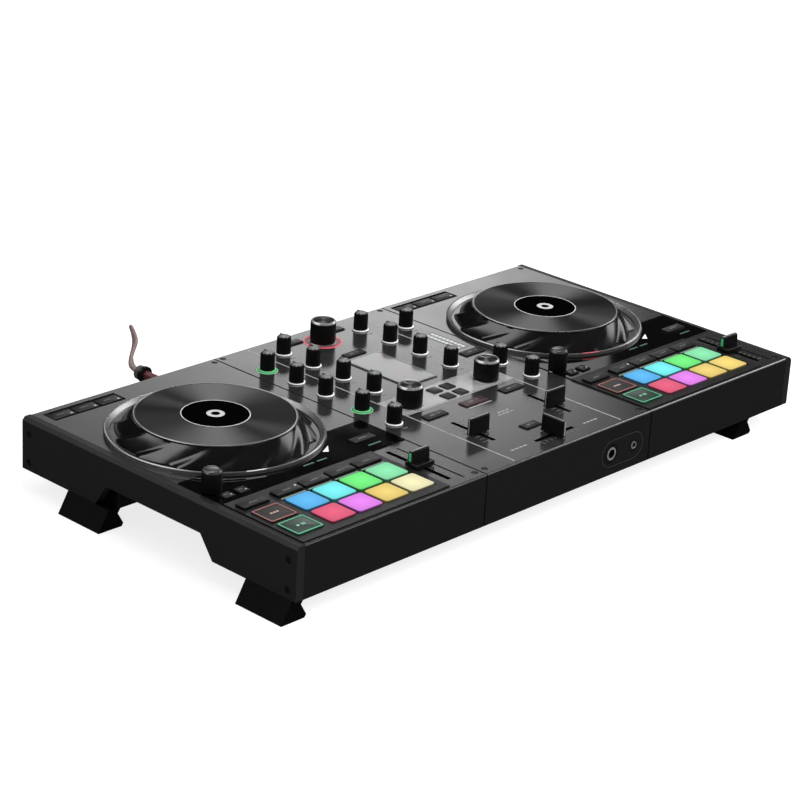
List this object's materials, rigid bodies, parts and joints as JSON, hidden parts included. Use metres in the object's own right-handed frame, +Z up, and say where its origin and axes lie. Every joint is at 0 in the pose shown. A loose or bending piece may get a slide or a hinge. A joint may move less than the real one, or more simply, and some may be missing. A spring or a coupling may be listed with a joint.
{
  "type": "dj controller",
  "caption": "Dark two-deck dj controller with jog wheels, coloured pads, a central mixer of knobs and faders, fold-out legs and a phono lead at the back.",
  "frame": {"origin": "on the table, under the middle of the unit's box without the phono lead", "axes": "+X along the long side to the right, +Y towards the back panel, +Z up"},
  "size_m": [0.5437, 0.4026, 0.0725],
  "materials": {
    "underside": "fine-grained black moulding",
    "top_panel": "dark grey gloss lacquer",
    "side_plate": "satin charcoal moulding",
    "bezel": "piano black surround",
    "inlay": "piano black strip",
    "window": "smoked display cover",
    "silver_ring": "satin silver dished ring",
    "bearing": "acetal bush",
    "screw": "blackened steel",
    "socket": "black socket body with plated barrel",
    "pot": "zinc-plated housing",
    "board": "green solder mask",
    "plug": "dark plug body with a red band",
    "cable": "soft reddish-brown sheath",
    "jog_skirt": "faceted dark grip skirt",
    "jog_disc": "circularly brushed dark disc",
    "pad": "frosted silicone lit from below",
    "transport": "dark frosted keys with lit rims",
    "key": "satin dark keys",
    "fader_cap": "satin black with a light line",
    "knob": "satin black, light grey top",
    "leg": "black moulding",
    "print": "light grey print",
    "light": "lit indicator lens"
  },
  "bodies": {
    "chassis": {"bottom_tray": "underside", "left_top_shell": "top_panel", "mixer_top_shell": "top_panel", "right_top_shell": "top_panel", "left_side_cheek": "side_plate", "right_side_cheek": "side_plate", "pad_bezels": "bezel", "gloss_inlays": "inlay", "display_window": "window", "jog_base_rings": "silver_ring", "jog_bearings": "bearing", "case_screws": "screw", "sockets": "socket", "potentiometers": "pot", "circuit_boards": "board", "rca_plug": "plug", "rca_cable": "cable", "rca_cable_coil": "cable", "rca_far_plug": "plug"},
    "left_jog": {"left_jog_wheel": "jog_skirt", "left_jog_disc": "jog_disc"},
    "left_pads": {"left_pads": "pad"},
    "left_transport_buttons": {"left_transport_buttons": "transport"},
    "left_function_buttons": {"left_function_buttons": "key"},
    "left_tempo_cap": {"left_tempo_cap": "fader_cap"},
    "left_channel_cap": {"left_channel_cap": "fader_cap"},
    "right_jog": {"right_jog_wheel": "jog_skirt", "right_jog_disc": "jog_disc"},
    "right_pads": {"right_pads": "pad"},
    "right_transport_buttons": {"right_transport_buttons": "transport"},
    "right_function_buttons": {"right_function_buttons": "key"},
    "right_tempo_cap": {"right_tempo_cap": "fader_cap"},
    "right_channel_cap": {"right_channel_cap": "fader_cap"},
    "mixer_buttons": {"mixer_buttons": "key"},
    "crossfader_cap": {"crossfader_cap": "fader_cap"},
    "left_low_knob": {"left_low_knob": "knob"},
    "right_low_knob": {"right_low_knob": "knob"},
    "left_mid_knob": {"left_mid_knob": "knob"},
    "right_mid_knob": {"right_mid_knob": "knob"},
    "left_high_knob": {"left_high_knob": "knob"},
    "right_high_knob": {"right_high_knob": "knob"},
    "left_gain_knob": {"left_gain_knob": "knob"},
    "right_gain_knob": {"right_gain_knob": "knob"},
    "master_level_knob": {"master_level_knob": "knob"},
    "effect_depth_knob": {"effect_depth_knob": "knob"},
    "aux_level_knob": {"aux_level_knob": "knob"},
    "mic_level_knob": {"mic_level_knob": "knob"},
    "effect_select_knob": {"effect_select_knob": "knob"},
    "phones_level_knob": {"phones_level_knob": "knob"},
    "cue_mix_knob": {"cue_mix_knob": "knob"},
    "booth_level_knob": {"booth_level_knob": "knob"},
    "left_filter_knob": {"left_filter_knob": "knob"},
    "right_filter_knob": {"right_filter_knob": "knob"},
    "browse_encoder": {"browse_encoder": "knob"},
    "left_loop_encoder": {"left_loop_encoder": "knob"},
    "right_loop_encoder": {"right_loop_encoder": "knob"},
    "front_left_leg": {"front_left_leg": "leg"},
    "back_left_leg": {"back_left_leg": "leg"},
    "front_right_leg": {"front_right_leg": "leg"},
    "back_right_leg": {"back_right_leg": "leg"}
  },
  "joints": [
    {"name": "left_jog_spin", "type": "hinge", "parent": "chassis", "child": "left_jog", "pos_m": [-0.1768, 0.0293, 0.0545], "axis": [0, 0, 1], "continuous": true},
    {"name": "left_pads_press", "type": "slide", "parent": "chassis", "child": "left_pads", "axis": [0, 0, -1], "range_m": [0, 0.001], "stiffness_N_per_m": 800, "springref_m": -0.003},
    {"name": "left_transport_press", "type": "slide", "parent": "chassis", "child": "left_transport_buttons", "axis": [0, 0, -1], "range_m": [0, 0.0008], "stiffness_N_per_m": 500, "springref_m": -0.003},
    {"name": "left_function_press", "type": "slide", "parent": "chassis", "child": "left_function_buttons", "axis": [0, 0, -1], "range_m": [0, 0.0008], "stiffness_N_per_m": 500, "springref_m": -0.003},
    {"name": "left_tempo_slide", "type": "slide", "parent": "chassis", "child": "left_tempo_cap", "axis": [0, 1, 0], "range_m": [-0.0246, 0.0278]},
    {"name": "left_channel_slide", "type": "slide", "parent": "chassis", "child": "left_channel_cap", "axis": [0, 1, 0], "range_m": [-0.0128, 0.0226]},
    {"name": "right_jog_spin", "type": "hinge", "parent": "chassis", "child": "right_jog", "pos_m": [0.1756, 0.0293, 0.0545], "axis": [0, 0, 1], "continuous": true},
    {"name": "right_pads_press", "type": "slide", "parent": "chassis", "child": "right_pads", "axis": [0, 0, -1], "range_m": [0, 0.001], "stiffness_N_per_m": 800, "springref_m": -0.003},
    {"name": "right_transport_press", "type": "slide", "parent": "chassis", "child": "right_transport_buttons", "axis": [0, 0, -1], "range_m": [0, 0.0008], "stiffness_N_per_m": 500, "springref_m": -0.003},
    {"name": "right_function_press", "type": "slide", "parent": "chassis", "child": "right_function_buttons", "axis": [0, 0, -1], "range_m": [0, 0.0008], "stiffness_N_per_m": 500, "springref_m": -0.003},
    {"name": "right_tempo_slide", "type": "slide", "parent": "chassis", "child": "right_tempo_cap", "axis": [0, 1, 0], "range_m": [-0.0246, 0.0278]},
    {"name": "right_channel_slide", "type": "slide", "parent": "chassis", "child": "right_channel_cap", "axis": [0, 1, 0], "range_m": [-0.0128, 0.0226]},
    {"name": "mixer_buttons_press", "type": "slide", "parent": "chassis", "child": "mixer_buttons", "axis": [0, 0, -1], "range_m": [0, 0.0008], "stiffness_N_per_m": 500, "springref_m": -0.003},
    {"name": "crossfader_slide", "type": "slide", "parent": "chassis", "child": "crossfader_cap", "axis": [1, 0, 0], "range_m": [-0.0163, 0.0191]},
    {"name": "left_low_turn", "type": "hinge", "parent": "chassis", "child": "left_low_knob", "pos_m": [-0.0345, 0.0132, 0.0545], "axis": [0, 0, 1], "range_deg": [-140, 140]},
    {"name": "right_low_turn", "type": "hinge", "parent": "chassis", "child": "right_low_knob", "pos_m": [0.0485, 0.0132, 0.0545], "axis": [0, 0, 1], "range_deg": [-140, 140]},
    {"name": "left_mid_turn", "type": "hinge", "parent": "chassis", "child": "left_mid_knob", "pos_m": [-0.0345, 0.045, 0.0545], "axis": [0, 0, 1], "range_deg": [-140, 140]},
    {"name": "right_mid_turn", "type": "hinge", "parent": "chassis", "child": "right_mid_knob", "pos_m": [0.0485, 0.045, 0.0545], "axis": [0, 0, 1], "range_deg": [-140, 140]},
    {"name": "left_high_turn", "type": "hinge", "parent": "chassis", "child": "left_high_knob", "pos_m": [-0.0345, 0.0768, 0.0545], "axis": [0, 0, 1], "range_deg": [-140, 140]},
    {"name": "right_high_turn", "type": "hinge", "parent": "chassis", "child": "right_high_knob", "pos_m": [0.0485, 0.0768, 0.0545], "axis": [0, 0, 1], "range_deg": [-140, 140]},
    {"name": "left_gain_turn", "type": "hinge", "parent": "chassis", "child": "left_gain_knob", "pos_m": [-0.0345, 0.1086, 0.0545], "axis": [0, 0, 1], "range_deg": [-140, 140]},
    {"name": "right_gain_turn", "type": "hinge", "parent": "chassis", "child": "right_gain_knob", "pos_m": [0.0485, 0.1086, 0.0545], "axis": [0, 0, 1], "range_deg": [-140, 140]},
    {"name": "master_level_turn", "type": "hinge", "parent": "chassis", "child": "master_level_knob", "pos_m": [-0.0676, -0.0392, 0.0545], "axis": [0, 0, 1], "range_deg": [-140, 140]},
    {"name": "effect_depth_turn", "type": "hinge", "parent": "chassis", "child": "effect_depth_knob", "pos_m": [-0.0676, -0.0072, 0.0545], "axis": [0, 0, 1], "range_deg": [-140, 140]},
    {"name": "aux_level_turn", "type": "hinge", "parent": "chassis", "child": "aux_level_knob", "pos_m": [-0.0676, 0.0301, 0.0545], "axis": [0, 0, 1], "range_deg": [-140, 140]},
    {"name": "mic_level_turn", "type": "hinge", "parent": "chassis", "child": "mic_level_knob", "pos_m": [-0.0676, 0.0605, 0.0545], "axis": [0, 0, 1], "range_deg": [-140, 140]},
    {"name": "effect_select_turn", "type": "hinge", "parent": "chassis", "child": "effect_select_knob", "pos_m": [-0.0676, 0.0915, 0.0545], "axis": [0, 0, 1], "range_deg": [-140, 140]},
    {"name": "phones_level_turn", "type": "hinge", "parent": "chassis", "child": "phones_level_knob", "pos_m": [0.0816, -0.0392, 0.0545], "axis": [0, 0, 1], "range_deg": [-140, 140]},
    {"name": "cue_mix_turn", "type": "hinge", "parent": "chassis", "child": "cue_mix_knob", "pos_m": [0.0816, -0.0072, 0.0545], "axis": [0, 0, 1], "range_deg": [-140, 140]},
    {"name": "booth_level_turn", "type": "hinge", "parent": "chassis", "child": "booth_level_knob", "pos_m": [0.0816, 0.0915, 0.0545], "axis": [0, 0, 1], "range_deg": [-140, 140]},
    {"name": "left_filter_turn", "type": "hinge", "parent": "chassis", "child": "left_filter_knob", "pos_m": [-0.0345, -0.0227, 0.0545], "axis": [0, 0, 1], "range_deg": [-140, 140]},
    {"name": "right_filter_turn", "type": "hinge", "parent": "chassis", "child": "right_filter_knob", "pos_m": [0.0485, -0.0227, 0.0545], "axis": [0, 0, 1], "range_deg": [-140, 140]},
    {"name": "browse_turn", "type": "hinge", "parent": "chassis", "child": "browse_encoder", "pos_m": [0.007, 0.1085, 0.0545], "axis": [0, 0, 1], "continuous": true},
    {"name": "left_loop_turn", "type": "hinge", "parent": "chassis", "child": "left_loop_encoder", "pos_m": [-0.2476, -0.0449, 0.0545], "axis": [0, 0, 1], "continuous": true},
    {"name": "right_loop_turn", "type": "hinge", "parent": "chassis", "child": "right_loop_encoder", "pos_m": [0.1048, -0.0449, 0.0545], "axis": [0, 0, 1], "continuous": true},
    {"name": "front_left_leg_fold", "type": "hinge", "parent": "chassis", "child": "front_left_leg", "pos_m": [-0.2521, -0.1176, 0.021], "axis": [0, -1, 0], "range_deg": [0, 118]},
    {"name": "back_left_leg_fold", "type": "hinge", "parent": "chassis", "child": "back_left_leg", "pos_m": [-0.2521, 0.0626, 0.021], "axis": [0, -1, 0], "range_deg": [0, 118]},
    {"name": "front_right_leg_fold", "type": "hinge", "parent": "chassis", "child": "front_right_leg", "pos_m": [0.2287, -0.1176, 0.021], "axis": [0, -1, 0], "range_deg": [0, 118]},
    {"name": "back_right_leg_fold", "type": "hinge", "parent": "chassis", "child": "back_right_leg", "pos_m": [0.2287, 0.0626, 0.021], "axis": [0, -1, 0], "range_deg": [0, 118]}
  ]
}
